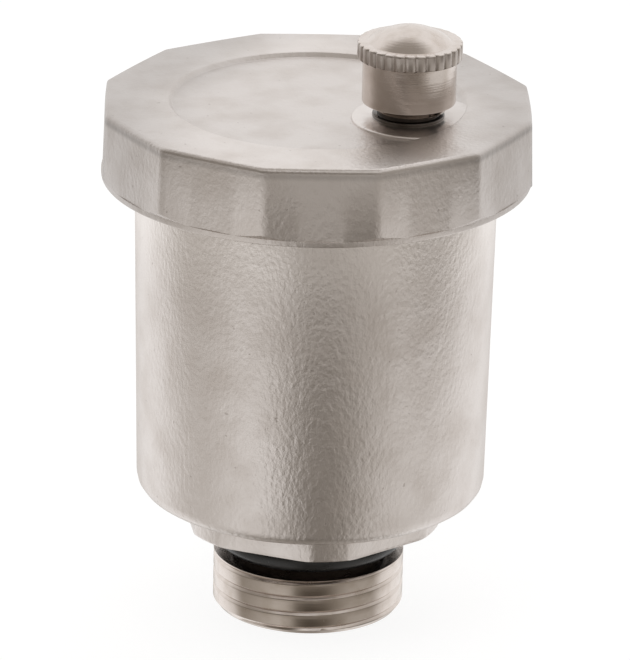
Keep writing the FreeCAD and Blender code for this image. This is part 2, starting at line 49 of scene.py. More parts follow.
# Camera. It stands three quarters of a metre in front of the valve, well above it and rolled a
# little to the left, with a long lens.
camera_distance = 0.750
camera_elevation = math.radians(20.701)
camera_roll = math.radians(1.237)
camera_aim = Vector((0.000202, 0, 0.031769))
focal_pixels = 6866.978
long_side_pixels = 660
sensor_side = 36.0

backward = Vector((0, -math.cos(camera_elevation), math.sin(camera_elevation)))
level_up = Vector((0, math.sin(camera_elevation), math.cos(camera_elevation)))
level_right = Vector((1, 0, 0))
right = level_right * math.cos(camera_roll) + level_up * math.sin(camera_roll)
upward = level_up * math.cos(camera_roll) - level_right * math.sin(camera_roll)
lens = bpy.data.cameras.new("camera")
lens.sensor_width = sensor_side
lens.lens = focal_pixels * sensor_side / long_side_pixels
lens.clip_start = 0.01
lens.clip_end = 100
camera = bpy.data.objects.new("camera", lens)
camera.matrix_world = Matrix((right, upward, backward)).transposed().to_4x4()
camera.location = camera_aim + backward * camera_distance
scene.collection.objects.link(camera)
scene.camera = camera


# Light tent. White cloth stands behind and above the valve, with a darker room in front of it and
# a black card by the lens. Only reflections show the tent: the camera itself sees plain white.
def feed(slot, term):
    """Link a shader value to a socket, or set the socket to a plain value."""
    if isinstance(term, Value):
        slot.id_data.links.new(term.socket, slot)
    else:
        slot.default_value = term


class Value:
    """A node's output, so that maths on shader values reads as plain Python."""

    def __init__(self, socket):
        self.socket = socket

    def maths(self, operation, first, second):
        node = self.socket.id_data.nodes.new("ShaderNodeMath")
        node.operation = operation
        feed(node.inputs[0], first)
        feed(node.inputs[1], second)
        return Value(node.outputs[0])

    def __add__(self, other):
        return self.maths("ADD", self, other)

    def __sub__(self, other):
        return self.maths("SUBTRACT", self, other)

    def __rsub__(self, other):
        return self.maths("SUBTRACT", other, self)

    def __mul__(self, other):
        return self.maths("MULTIPLY", self, other)

    def __truediv__(self, other):
        return self.maths("DIVIDE", self, other)

    def __pow__(self, other):
        return self.maths("POWER", self, other)

    def __abs__(self):
        return self.maths("ABSOLUTE", self, 0.0)

    __radd__ = __add__
    __rmul__ = __mul__


class Nodes:
    """The nodes of one material, or of the world."""

    def __init__(self, owner):
        owner.use_nodes = True
        self.tree = owner.node_tree
        self.tree.nodes.clear()

    def add(self, kind, settings=None, inputs=None, output=0):
        """Add a node, set it up, then feed its sockets. Returns one of its outputs."""
        node = self.tree.nodes.new("ShaderNode" + kind)
        for name, setting in (settings or {}).items():
            if name == "stops":
                self.set_stops(node.color_ramp, setting)
            else:
                setattr(node, name, setting)
        for name, term in (inputs or {}).items():
            feed(node.inputs[name], term)
        return Value(node.outputs[output]) if len(node.outputs) else None

    def set_stops(self, ramp, stops):
        """Give a colour ramp its grey stops, as (position, level) pairs."""
        while len(ramp.elements) < len(stops):
            ramp.elements.new(1.0)
        for element, (position, level) in zip(ramp.elements, stops):
            element.position = position
            element.color = (level, level, level, 1)

    def along(self, vector, axis):
        """How far a place or a direction goes along one axis."""
        return self.add("SeparateXYZ", inputs={0: vector}, output=axis)

    def ease(self, value, span):
        """Go smoothly from 0 to 1 while a value goes from one end of a span to the other."""
        return self.add("MapRange", {"interpolation_type": "SMOOTHSTEP"},
                        {"Value": value, "From Min": span[0], "From Max": span[1]})

    def mix(self, share, colour, other):
        """Blend a share of another colour into a colour."""
        return self.add("Mix", {"data_type": "RGBA"}, {0: share, 6: colour, 7: other}, output=2)


def round_the_compass(stops):
    """Ramp stops from (degrees to the right of the lens, level) pairs."""
    return [(0.5 + degrees / 360, level) for degrees, level in stops]


# Brightness all round the valve: straight below, over the table's far part, and above the horizon.
near_levels = round_the_compass([
    (-180, 0.50), (-166, 0.60), (-150, 0.95), (-125, 0.98), (-108, 0.80), (-88, 0.50), (-72, 0.58),
    (-52, 0.74), (-38, 0.86), (-27, 0.84), (-19, 0.62), (-14, 0.22), (0, 0.10), (22, 0.13), (32, 0.34),
    (52, 0.66), (75, 0.70), (95, 0.70), (115, 0.90), (150, 0.95), (166, 0.60), (180, 0.50),
])
far_levels = round_the_compass([
    (-180, 0.80), (-150, 0.98), (-132, 0.95), (-120, 0.84), (-110, 0.66), (-92, 0.36), (-75, 0.36),
    (-62, 0.44), (-48, 0.54), (-20, 0.52), (0, 0.51), (14, 0.60), (28, 0.50), (48, 0.41), (62, 0.31),
    (75, 0.07), (92, 0.24), (110, 0.58), (120, 0.72), (132, 0.92), (150, 0.98), (180, 0.80),
])
room_levels = round_the_compass([
    (-180, 0.92), (-120, 0.90), (-110, 0.66), (-98, 0.34), (-85, 0.24), (-60, 0.20), (-40, 0.16),
    (-28, 0.07), (-10, 0.07), (2, 0.22), (20, 0.24), (40, 0.28), (62, 0.34), (86, 0.42), (100, 0.60),
    (112, 0.82), (140, 0.92), (180, 0.92),
])
tent_strength = 1.08
red_lift = 0.065
blue_drop = 0.085
# Where one part of the tent passes into the next, as the sine of the elevation.
floor_edge = (-0.94, -0.86)
table_edge = (-0.34, -0.24)
horizon = (-0.08, 0.10)
ceiling_edge = (0.62, 0.85)
ceiling_level = 0.95
# The ceiling has a dimmer opening a little left of the zenith, longer sideways than in depth.
opening_x = -0.12
opening_narrowing = (2.6, 5.0)
opening_edge = (0.25, 1.5)
opening_level = 0.30
floor_shade = 0.7

world = bpy.data.worlds.new("light_tent")
scene.world = world
sky = Nodes(world)
toward = sky.add("TexCoord", output="Generated")
toward_x = sky.along(toward, "X")
toward_y = sky.along(toward, "Y")
toward_z = sky.along(toward, "Z")
bearing = sky.add("Math", {"operation": "ARCTAN2"}, {0: toward_x, 1: 0 - toward_y})
compass = bearing / (2 * math.pi) + 0.5
near_level = sky.add("ValToRGB", {"stops": near_levels}, {0: compass})
far_level = sky.add("ValToRGB", {"stops": far_levels}, {0: compass})
room_level = sky.add("ValToRGB", {"stops": room_levels}, {0: compass})
past_floor = sky.ease(toward_z, floor_edge)
past_table = sky.ease(toward_z, table_edge)
past_horizon = sky.ease(toward_z, horizon)
past_walls = sky.ease(toward_z, ceiling_edge)
off_opening = (toward_x - opening_x) ** 2 * opening_narrowing[0] + toward_y * toward_y * opening_narrowing[1]
past_opening = sky.ease(off_opening, opening_edge)
table_level = near_level * (1 - past_table) + far_level * past_table
tent_level = room_level * (1 - past_walls) + ceiling_level * past_walls
tent_level = opening_level * (1 - past_opening) + tent_level * past_opening
under_valve = 1 - (1 - past_floor) * floor_shade
level = (table_level * (1 - past_horizon) + tent_level * past_horizon) * under_valve
warm_level = sky.add("CombineColor", inputs={
    "Red": level ** (1 - red_lift), "Green": level, "Blue": level ** (1 + blue_drop)})
tent_light = sky.add("Background", inputs={"Color": warm_level, "Strength": tent_strength})
white = sky.add("Background", inputs={"Color": (1, 1, 1, 1)})
seen_directly = sky.add("LightPath", output="Is Camera Ray")
sky.add("OutputWorld", inputs={0: sky.add("MixShader", inputs={0: seen_directly, 1: tent_light, 2: white})})

# Lamp. A large softbox stands to the upper left, in front. It casts the faint shadow on the table
# and lights the rubber, and the metal doesn't mirror it.
lamp_place = Vector((-0.35, -0.30, 0.60))
lamp_side = 0.45
lamp_watts = 0.75
softbox = bpy.data.lights.new("softbox", "AREA")
softbox.size = lamp_side
softbox.energy = lamp_watts
lamp = bpy.data.objects.new("softbox", softbox)
lamp.location = lamp_place
lamp.rotation_mode = "QUATERNION"
lamp.rotation_quaternion = (camera_aim - lamp_place).to_track_quat("-Z", "Y")
lamp.visible_glossy = False
scene.collection.objects.link(lamp)

# Table. A white sheet that the camera sees almost blank, with a share of its true shadow left on
# it. Reflections pass through it, so that the metal mirrors the tent alone.
table_half_side = 5.0
table_colour = (0.86, 0.86, 0.86, 1)
shadow_share = 0.28
table_glow = 1.2
table_finish = bpy.data.materials.new("white_table")
cloth = Nodes(table_finish)
lit = cloth.add("BsdfDiffuse", inputs={"Color": table_colour})
blank = cloth.add("Emission", inputs={"Color": (1, 1, 1, 1), "Strength": table_glow})
clear = cloth.add("BsdfTransparent")
for_camera = cloth.add("LightPath", output="Is Camera Ray")
for_gloss = cloth.add("LightPath", output="Is Glossy Ray")
for_glass = cloth.add("LightPath", output="Is Transmission Ray")
pale = cloth.add("MixShader", inputs={0: for_camera * (1 - shadow_share), 1: lit, 2: blank})
surface = cloth.add("MixShader", inputs={0: for_gloss + for_glass, 1: pale, 2: clear})
cloth.add("OutputMaterial", inputs={"Surface": surface})
table = bmesh.new()
bmesh.ops.create_grid(table, x_segments=1, y_segments=1, size=table_half_side)
table_mesh = bpy.data.meshes.new("table")
table.to_mesh(table_mesh)
table.free()
table_mesh.materials.append(table_finish)
table_object = bpy.data.objects.new("table", table_mesh)
scene.collection.objects.link(table_object)

# Body. One brass forging: round float chamber, wrench collar, neck and inlet thread. It is
# blasted, turned on the thread and rim, and nickel plated. All sizes are in millimetres.
mm = 0.001
slack = 0.01  # for picking vertices and faces by their height
columns = 240
inlet_thread_r = 10.4775
inlet_pitch = 1.814
inlet_thread_depth = 0.24
inlet_crest_width = 1.26
inlet_thread_top = 6.33
inlet_lead_in = 0.55
inlet_crest_z = 0.275
inlet_crest_slack = 0.04
neck_r = 7.9
bore_r = 6.9
collar_z = 10.27
collar_edge = 0.3
foot_z = 13.70
collar_foot_edge = 0.15
collar_sides = 6
collar_flat_r = 13.5
collar_corner_r = 14.57
collar_turn = math.radians(9.28)
chamber_foot_r = 19.07
chamber_top_r = 19.7145
chamber_edge = 1.8
chamber_bore_r = 16.9
chamber_floor_z = 16.2
chamber_corner = 1.2
shoulder_z = 51.0
rim_r = 19.2
rim_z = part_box("body")[1].z / mm
rim_edge = 0.3
front = math.radians(-90)


def outline(corners, steps=4):
    """Points of a turned piece's outline, from (radius, height, rounding) corners."""
    points = []
    for k, corner in enumerate(corners):
        here = Vector((corner[0], 0, corner[1]))
        if len(corner) < 3:
            points.append(here)
            continue
        next_corner = corners[(k + 1) % len(corners)]
        before = Vector((corners[k - 1][0], 0, corners[k - 1][1]))
        after = Vector((next_corner[0], 0, next_corner[1]))
        rounding = corner[2]
        back = (before - here).normalized()
        ahead = (after - here).normalized()
        half = back.angle(ahead) / 2
        centre = here + (back + ahead).normalized() * (rounding / math.sin(half))
        first = (here + back * (rounding / math.tan(half)) - centre).normalized()
        last = (here + ahead * (rounding / math.tan(half)) - centre).normalized()
        for step in range(steps + 1):
            points.append(centre + first.slerp(last, step / steps) * rounding)
    return points


def turn(mesh, points, steps=columns, start=0.0, closed=False):
    """Turn an outline once round the Z axis, beginning at the start angle."""
    spun = Matrix.Rotation(start, 3, "Z")
    ring = [mesh.verts.new(spun @ point) for point in points]
    ahead = ring[1:] + ring[:1] if closed else ring[1:]
    lines = [mesh.edges.new(pair) for pair in zip(ring, ahead)]
    bmesh.ops.spin(mesh, geom=ring + lines, cent=(0, 0, 0), axis=(0, 0, 1), dvec=(0, 0, 0),
                   angle=2 * math.pi, steps=steps, use_merge=True, use_duplicate=False)
    bmesh.ops.remove_doubles(mesh, verts=mesh.verts, dist=1e-4)


def cut_thread(mesh, crest_r, depth, pitch, crest_width, low, high, crest_z=0.0, steps=columns):
    """Right-hand thread: one helical turn of its section, repeated upward, cut off flat at both ends.

    crest_z is the height of a crest above the low end, on the +X side."""
    flank_height = (pitch - crest_width) / 2
    crest_edge = flank_height * 0.6
    root_r = crest_r - depth
    start_z = low + crest_z - 2.5 * pitch
    corners = [
        (root_r, start_z),
        (crest_r, start_z + flank_height, crest_edge),
        (crest_r, start_z + flank_height + crest_width, crest_edge),
        (root_r, start_z + pitch),
    ]
    section = [mesh.verts.new(point) for point in outline(corners, steps=3)]
    lines = [mesh.edges.new(pair) for pair in zip(section, section[1:])]
    bmesh.ops.spin(mesh, geom=section + lines, cent=(0, 0, 0), axis=(0, 0, 1), dvec=(0, 0, pitch / steps),
                   angle=2 * math.pi, steps=steps, use_merge=False, use_duplicate=False)
    one_turn = mesh.verts[:] + mesh.edges[:] + mesh.faces[:]
    for rise in range(1, math.ceil((high - low) / pitch) + 4):
        copy = bmesh.ops.duplicate(mesh, geom=one_turn)["geom"]
        copy_verts = [part for part in copy if isinstance(part, bmesh.types.BMVert)]
        bmesh.ops.translate(mesh, vec=(0, 0, pitch * rise), verts=copy_verts)
    bmesh.ops.remove_doubles(mesh, verts=mesh.verts, dist=1e-4)
    for height, side in ((low, -1), (high, 1)):
        everything = mesh.verts[:] + mesh.edges[:] + mesh.faces[:]
        bmesh.ops.bisect_plane(mesh, geom=everything, dist=1e-5, plane_co=(0, 0, height),
                               plane_no=(0, 0, side), clear_outer=True)


def close_ring(mesh, height):
    """Bridge the two open loops that lie at one height."""
    level_edges = []
    for edge in mesh.edges:
        level = all(abs(vert.co.z - height) < 1e-3 for vert in edge.verts)
        if level and edge.is_boundary:
            level_edges.append(edge)
    bmesh.ops.bridge_loops(mesh, edges=level_edges)


def from_axis(place):
    """Distance of a place from the Z axis."""
    return math.hypot(place.x, place.y)


def pull_in(vert, limit):
    """Bring a vertex in to the limit, where it stands further from the Z axis."""
    reach = from_axis(vert.co)
    if reach > limit:
        vert.co.x *= limit / reach
        vert.co.y *= limit / reach


def press_flats(mesh, flat_at, sides, first_flat, low, high, crown=0.0):
    """Press vertices between two heights in to the flats of a polygon, flat_at(z) from the axis.

    A crown makes each flat stand that much higher along its middle than at its corners."""
    step = 2 * math.pi / sides
    for vert in mesh.verts:
        if low <= vert.co.z <= high:
            off = (math.atan2(vert.co.y, vert.co.x) - first_flat + step / 2) % step - step / 2
            pull_in(vert, (flat_at(vert.co.z) - crown * (2 * off / step) ** 2) / math.cos(off))


def make_piece(mesh, name, finishes, offset=(0, 0, 0), sharp=math.radians(32)):
    """Finish a mesh drawn in millimetres: set it in place, in metres, with crisp edges kept crisp."""
    bmesh.ops.translate(mesh, vec=offset, verts=mesh.verts)
    bmesh.ops.scale(mesh, vec=(mm, mm, mm), verts=mesh.verts)
    bmesh.ops.recalc_face_normals(mesh, faces=mesh.faces)
    for face in mesh.faces:
        face.smooth = True
    for edge in mesh.edges:
        edge.smooth = edge.calc_face_angle(0) < sharp
    data = bpy.data.meshes.new(name)
    mesh.to_mesh(data)
    mesh.free()
    for finish in finishes:
        data.materials.append(finish)
    piece = bpy.data.objects.new(name, data)
    scene.collection.objects.link(piece)
    return piece


def start_finish(name):
    """A new material, its nodes, and the place on the piece that its patterns follow."""
    finish = bpy.data.materials.new(name)
    skin = Nodes(finish)
    return finish, skin, skin.add("TexCoord", output="Object")


def end_finish(skin, sockets):
    """Give a material its one surface shader."""
    shader = skin.add("BsdfPrincipled", inputs=sockets)
    skin.add("OutputMaterial", inputs={"Surface": shader})


black = (0, 0, 0, 1)
forged_colour = (0.775, 0.725, 0.697, 1)
forged_dull = (0.72, 0.665, 0.630, 1)
forged_speck = (0.42, 0.37, 0.34, 1)
# Painted light: the bright colour that the chamber takes near its top.
forged_painted_light = (0.98, 0.93, 0.90, 1)
side_shade_span = (10 * mm, 22 * mm)
shade_line_span = (0.6 * mm, 0.0)
painted_light_span = (38 * mm, 49 * mm)
pit_span = (0.75, 0.80)


def forged_nickel(name, roughness, lump_depth, wave_depth=0.13, side_shade=0.0, shade_line_z=0.0, painted_light_top=0.0):
    """Nickel over blasted brass: a fine leathery grain, soft waves and a few dark pits.

    Painted shade dims the piece towards its sides and back, a line of painted shade, standing for a dark
    reflection, runs round it at one height, and painted light, by a given share, brightens the chamber near
    its top, under the lid."""
    finish, skin, place = start_finish(name)
    aside = abs(skin.along(place, "X"))
    depth = skin.along(place, "Y")
    height = skin.along(place, "Z")
    behind = skin.add("Math", {"operation": "MAXIMUM"}, {0: depth, 1: 0.0})
    drawn_out = skin.add("Mapping", inputs={"Vector": place, "Scale": (1.0, 1.0, 0.7)})
    waves = skin.add("TexNoise", inputs={"Vector": place, "Scale": 95.0, "Detail": 2.0})
    lumps = skin.add("TexNoise", inputs={"Vector": drawn_out, "Scale": 2100.0, "Detail": 2.0,
                                         "Roughness": 0.45})
    grain = skin.add("TexNoise", inputs={"Vector": place, "Scale": 5200.0, "Detail": 1.0})
    patches = skin.add("TexNoise", inputs={"Vector": place, "Scale": 230.0, "Detail": 4.0})
    pits = skin.add("TexNoise", inputs={"Vector": place, "Scale": 1500.0, "Detail": 1.0})
    dull = skin.add("MapRange", inputs={"Value": patches, "From Min": 0.42, "From Max": 0.72})
    pitted = skin.ease(pits, pit_span)
    # Painted shade: the finish darkens towards its sides and back.
    side_shaded = skin.ease(aside + behind * 0.5, side_shade_span)
    # Painted shade: a thin dark line round the piece at one height, standing for a dark reflection under the
    # lid's top edge.
    on_shade_line = skin.ease(abs(height - shade_line_z * mm), shade_line_span)
    # Painted light: the chamber brightens towards its top, under the lid.
    painted_lit = skin.ease(height, painted_light_span)
    colour = skin.mix(dull, forged_colour, forged_dull)
    colour = skin.mix(pitted * 0.45, colour, forged_speck)
    colour = skin.mix(painted_lit * painted_light_top, colour, forged_painted_light)
    colour = skin.mix(side_shaded * side_shade + on_shade_line * 0.2, colour, black)
    wavy = skin.add("Bump", inputs={"Height": waves, "Distance": wave_depth * mm, "Strength": 1.0})
    lumpy = skin.add("Bump", inputs={"Height": lumps, "Distance": lump_depth * mm, "Strength": 1.0,
                                     "Normal": wavy})
    grainy = skin.add("Bump", inputs={"Height": grain - pitted * 0.8, "Distance": 0.012 * mm,
                                      "Strength": 1.0, "Normal": lumpy})
    end_finish(skin, {"Base Color": colour, "Metallic": 1.0, "Roughness": roughness + dull * 0.06,
                      "Normal": grainy})
    return finish


turned_colour = (0.75, 0.68, 0.635, 1)
turned_dull = (0.67, 0.595, 0.54, 1)
# A warm brown painted shade for the front and back of the thread's crests.
front_back_shade_colour = (0.10, 0.055, 0.0, 1)
front_back_shade_span = (8.2 * mm, 7.0 * mm)


def turned_nickel(name, centre, roughness=0.2, darker=0.0, line_depth=0.012, front_back_shade=0.0):
    """Nickel over turned brass: fine lathe lines round the piece's axis and a few rubbed patches.

    A brown painted shade darkens the part that faces forwards or back, and leaves the sides bright."""
    finish, skin, place = start_finish(name)
    local = skin.add("Mapping", inputs={"Vector": place, "Location": (-centre[0] * mm, -centre[1] * mm, 0)})
    across_x = skin.along(local, "X")
    across_y = skin.along(local, "Y")
    radius = (across_x * across_x + across_y * across_y) ** 0.5
    lathe_place = skin.add("CombineXYZ", inputs={"X": radius, "Y": 0.0, "Z": skin.along(local, "Z")})
    lines = skin.add("TexNoise", inputs={"Vector": lathe_place, "Scale": 5500.0, "Detail": 2.0})
    broad = skin.add("TexNoise", inputs={"Vector": lathe_place, "Scale": 900.0, "Detail": 1.0})
    patches = skin.add("TexNoise", inputs={"Vector": place, "Scale": 520.0, "Detail": 4.0})
    rubbed = skin.add("MapRange", inputs={"Value": patches, "From Min": 0.45, "From Max": 0.7})
    front_back_shaded = skin.ease(abs(across_x), front_back_shade_span)
    colour = skin.mix(rubbed, turned_colour, turned_dull)
    colour = skin.mix(front_back_shaded * front_back_shade, colour, front_back_shade_colour)
    colour = skin.mix(darker, colour, black)
    relief = skin.add("Bump", inputs={"Height": lines * 0.6 + broad + patches * 0.5,
                                      "Distance": line_depth * mm, "Strength": 1.0})
    end_finish(skin, {"Base Color": colour, "Metallic": 1.0, "Roughness": roughness + rubbed * 0.08,
                      "Normal": relief})
    return finish


# Painted shade for undercuts: the dark colours of the groove, mottled at random.
groove_shade_colour = (0.10, 0.080, 0.068, 1)
groove_shade_mottle = (0.035, 0.028, 0.024, 1)


def painted_shade_groove():
    """An undercut: machined, with painted shade: a dark colour, mottled at random, stands in for the shade
    inside it.
    """
    finish, skin, place = start_finish("painted_shade_groove")
    stains = skin.add("TexNoise", inputs={"Vector": place, "Scale": 900.0, "Detail": 3.0})
    relief = skin.add("Bump", inputs={"Height": stains, "Distance": 0.02 * mm, "Strength": 1.0})
    end_finish(skin, {"Base Color": skin.mix(stains, groove_shade_colour, groove_shade_mottle), "Metallic": 0.5,
                      "Roughness": 0.4 + stains * 0.2, "Normal": relief})
    return finish


# The body's finish takes painted light near the top of its chamber.
forged_finish = forged_nickel("forged_nickel", roughness=0.34, lump_depth=0.056, painted_light_top=0.65)
machined_finish = turned_nickel("machined_nickel", (0, 0))
groove_shade_finish = painted_shade_groove()
# The crests take the brown painted shade on their front and back.
crest_finish = turned_nickel("crest_nickel", (0, 0), front_back_shade=0.48)
body_mesh = bmesh.new()
cut_thread(body_mesh, inlet_thread_r, inlet_thread_depth, inlet_pitch, inlet_crest_width, 0,
           inlet_thread_top, inlet_crest_z)
for vert in body_mesh.verts:
    pull_in(vert, inlet_thread_r - inlet_lead_in + vert.co.z)
turn(body_mesh, outline([
    (neck_r, inlet_thread_top),
    (neck_r, collar_z, 0.2),
    (collar_corner_r, collar_z, collar_edge),
    (collar_corner_r, foot_z, collar_foot_edge),
    (chamber_foot_r, foot_z, chamber_edge),
    (chamber_top_r, shoulder_z, 0.3),
    (rim_r, shoulder_z, 0.1),
    (rim_r, rim_z, rim_edge),
    (chamber_bore_r, rim_z, rim_edge),
    (chamber_bore_r, chamber_floor_z, chamber_corner),
    (bore_r, chamber_floor_z, 0.3),
    (bore_r, 0),
]), start=front + collar_turn)
close_ring(body_mesh, 0)
close_ring(body_mesh, inlet_thread_top)
press_flats(body_mesh, lambda z: collar_flat_r, collar_sides, front + collar_turn + math.pi / collar_sides,
            collar_z - slack, foot_z - collar_foot_edge - slack)
body_finishes = [forged_finish, machined_finish, groove_shade_finish, crest_finish]
for face in body_mesh.faces:
    height = face.calc_center_median().z
    on_crest = min(from_axis(vert.co) for vert in face.verts) > inlet_thread_r - inlet_crest_slack
    # The neck between the thread and the collar takes the groove's painted shade.
    if inlet_thread_top + slack < height < collar_z + slack:
        finish = groove_shade_finish
    elif height < inlet_thread_top and on_crest:
        finish = crest_finish
    elif height < collar_z - collar_edge or height > shoulder_z:
        finish = machined_finish
    else:
        finish = forged_finish
    face.material_index = body_finishes.index(finish)
body_piece = make_piece(body_mesh, "forged_body", body_finishes)
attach(body_piece, "housing")
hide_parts("body")

# Sealing ring of the inlet: a moulded rubber O-ring that hangs loose on the neck, a little below
# the wrench collar.
ring_low, ring_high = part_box("connection_o_ring")
ring_section_r = (ring_high.z - ring_low.z) / 2 / mm
ring_middle_r = ring_high.x / mm - ring_section_r
ring_middle_z = (ring_high.z + ring_low.z) / 2 / mm
ring_sides = 24
ring_columns = 180
rubber_colour = (0.016, 0.016, 0.016, 1)
rubber_bloom = (0.035, 0.034, 0.033, 1)


def black_rubber():
    """Moulded black rubber with a dry sheen and a light bloom in patches."""
    finish, skin, place = start_finish("black_rubber")
    bloom = skin.add("TexNoise", inputs={"Vector": place, "Scale": 420.0, "Detail": 3.0})
    grain = skin.add("TexNoise", inputs={"Vector": place, "Scale": 6000.0, "Detail": 1.0})
    dusty = skin.add("MapRange", inputs={"Value": bloom, "From Min": 0.45, "From Max": 0.75})
    relief = skin.add("Bump", inputs={"Height": grain, "Distance": 0.01 * mm, "Strength": 1.0})
    end_finish(skin, {"Base Color": skin.mix(dusty, rubber_colour, rubber_bloom),
                      "Roughness": 0.27 + dusty * 0.2, "Normal": relief})
    return finish


rubber_finish = black_rubber()
ring_circle = []
for side in range(ring_sides):
    angle = 2 * math.pi * side / ring_sides
    ring_circle.append(Vector((ring_middle_r + ring_section_r * math.cos(angle), 0,
                               ring_middle_z + ring_section_r * math.sin(angle))))
ring_mesh = bmesh.new()
turn(ring_mesh, ring_circle, steps=ring_columns, closed=True)
inlet_ring = make_piece(ring_mesh, "inlet_sealing_ring", [rubber_finish])
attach(inlet_ring, "housing")
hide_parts("connection_o_ring")

# Lid. A brass forging with twelve drafted wrench flats, a round lip at its foot and a shallow
# round recess on top, screwed over the rim of the body and nickel plated with it.
lid_low, lid_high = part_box("lid")
lid_top_z = lid_high.z / mm
lid_foot_z = lid_low.z / mm
lid_sides = 12
lid_turn = math.radians(1.35)
lid_flat_r = 22.96
lid_draft = math.radians(1.95)
lid_edge = 0.55
lid_edge_steps = 5
lid_corner_bevel = 0.22
lid_crown = 0.12
lid_lip_r = 23.32
lid_lip_edge = 0.15
lid_lip_top_z = lid_foot_z + 0.64
lid_corner_r = 24.5
lid_underside_z = 55.4
lid_skirt_r = 19.895
lid_skirt_top_z = shoulder_z + 0.18
lid_thread_r = 19.25
recess_r = 16.2
recess_slope = 0.45
recess_edge = 0.4
recess_z = lid_top_z - 0.45


def lid_flat(z):
    """Distance of the lid's flats from the axis, with their draft and the rounded top edge."""
    into_edge = max(z - (lid_top_z - lid_edge), 0)
    rounded_off = lid_edge - math.sqrt(max(lid_edge ** 2 - into_edge ** 2, 0))
    return lid_flat_r + (lid_top_z - z) * math.tan(lid_draft) - rounded_off


# The slope from the round lip up to the corners of the flats rises at 45 degrees.
lid_slope_top_z = lid_lip_top_z + lid_corner_r - lid_lip_r
edge_rows = []
for step in range(lid_edge_steps + 1):
    rise = lid_edge * math.sin(math.pi / 2 * step / lid_edge_steps)
    edge_rows.append((lid_corner_r, lid_top_z - lid_edge + rise))
lid_mesh = bmesh.new()
turn(lid_mesh, outline([
    (0, lid_underside_z),
    (lid_thread_r, lid_underside_z),
    (lid_thread_r, lid_skirt_top_z),
    (lid_skirt_r, lid_skirt_top_z),
    (lid_skirt_r, lid_foot_z, lid_lip_edge),
    (lid_lip_r, lid_foot_z, lid_lip_edge),
    (lid_lip_r, lid_lip_top_z),
    (lid_corner_r, lid_slope_top_z),
    *edge_rows,
    (recess_r, lid_top_z, recess_edge),
    (recess_r - recess_slope, recess_z, recess_edge),
    (0, recess_z),
]), start=front + lid_turn + math.pi / lid_sides)
press_flats(lid_mesh, lid_flat, lid_sides, front + lid_turn, lid_lip_top_z + slack, lid_top_z + slack,
            lid_crown)
for vert in lid_mesh.verts:
    if abs(vert.co.z - lid_slope_top_z) < 1e-3:
        vert.co.z = lid_lip_top_z + 2 * slack + max(from_axis(vert.co) - lid_lip_r, 0)
corner_edges = []
for edge in lid_mesh.edges:
    low_end, high_end = sorted(edge.verts, key=lambda vert: vert.co.z)
    on_flats = low_end.co.z > lid_lip_top_z + slack and high_end.co.z - low_end.co.z > slack
    if on_flats and edge.calc_face_angle(0) > math.radians(12):
        corner_edges.append(edge)
bmesh.ops.bevel(lid_mesh, geom=corner_edges, offset=lid_corner_bevel, offset_type="OFFSET", segments=2,
                profile=0.5, affect="EDGES", material=-1, clamp_overlap=True)
# The lid's finish takes painted shade towards its sides and back, and a line of painted shade a little below
# its top edge.
lid_finish = forged_nickel("lid_nickel", roughness=0.36, lump_depth=0.045, wave_depth=0.08, side_shade=0.26,
                           shade_line_z=lid_top_z - 0.8)
lid_piece = make_piece(lid_mesh, "screw_lid", [lid_finish])
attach(lid_piece, "housing")
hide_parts("lid")

# Nozzle boss of the lid: the low round pad that the air nozzle is screwed down on, forged with
# the lid and set a little outward of the nozzle.
nozzle_low, nozzle_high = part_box("vent_nozzle")
nozzle_x = (nozzle_low.x + nozzle_high.x) / 2 / mm
nozzle_y = (nozzle_low.y + nozzle_high.y) / 2 / mm
nozzle_reach = math.hypot(nozzle_x, nozzle_y)
nozzle_axis = (nozzle_x, nozzle_y, 0)
nozzle_columns = 120
boss_r = 7.07
boss_shift = 1.0
boss_edge = 0.22
boss_z = recess_z + 0.25
boss_root_z = recess_z - 1.0
boss_share = (nozzle_reach + boss_shift) / nozzle_reach
boss_axis = (nozzle_x * boss_share, nozzle_y * boss_share, 0)
boss_mesh = bmesh.new()
turn(boss_mesh, outline([
    (0, boss_root_z),
    (boss_r, boss_root_z),
    (boss_r, boss_z, boss_edge),
    (0, boss_z),
]), steps=nozzle_columns)
# The boss's finish takes the same painted shade towards its sides and back.
boss_finish = forged_nickel("boss_nickel", roughness=0.30, lump_depth=0.03, side_shade=0.26)
boss_piece = make_piece(boss_mesh, "nozzle_boss", [boss_finish], boss_axis)
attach(boss_piece, "housing")
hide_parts("lid")

# Air nozzle. Turned brass, nickel plated: a thread for the dust cap with two air slots along it,
# a relief and a foot ring on the boss, and a stem through the lid.
nozzle_top_z = nozzle_high.z / mm
nozzle_end_z = nozzle_low.z / mm
nozzle_thread_r = 4.0
nozzle_pitch = 1.0
nozzle_thread_depth = 0.6
nozzle_crest_width = 0.3
nozzle_chamfer = 0.4
foot_ring_r = 3.9
foot_ring_z = boss_z + 0.3
relief_r = 3.35
nozzle_thread_z = foot_ring_z + 0.55
stem_r = 3.5
seat_hole_r = 1.6
seat_hole_z = nozzle_end_z + 3.0
air_bore_r = 1.1
slot_half_width = 0.6
slot_floor_x = 3.2
slot_turn = math.radians(-40)
nozzle_mesh = bmesh.new()
cut_thread(nozzle_mesh, nozzle_thread_r, nozzle_thread_depth, nozzle_pitch, nozzle_crest_width,
           nozzle_thread_z, nozzle_top_z, steps=nozzle_columns)
for vert in nozzle_mesh.verts:
    pull_in(vert, nozzle_thread_r - nozzle_chamfer + nozzle_top_z - vert.co.z)
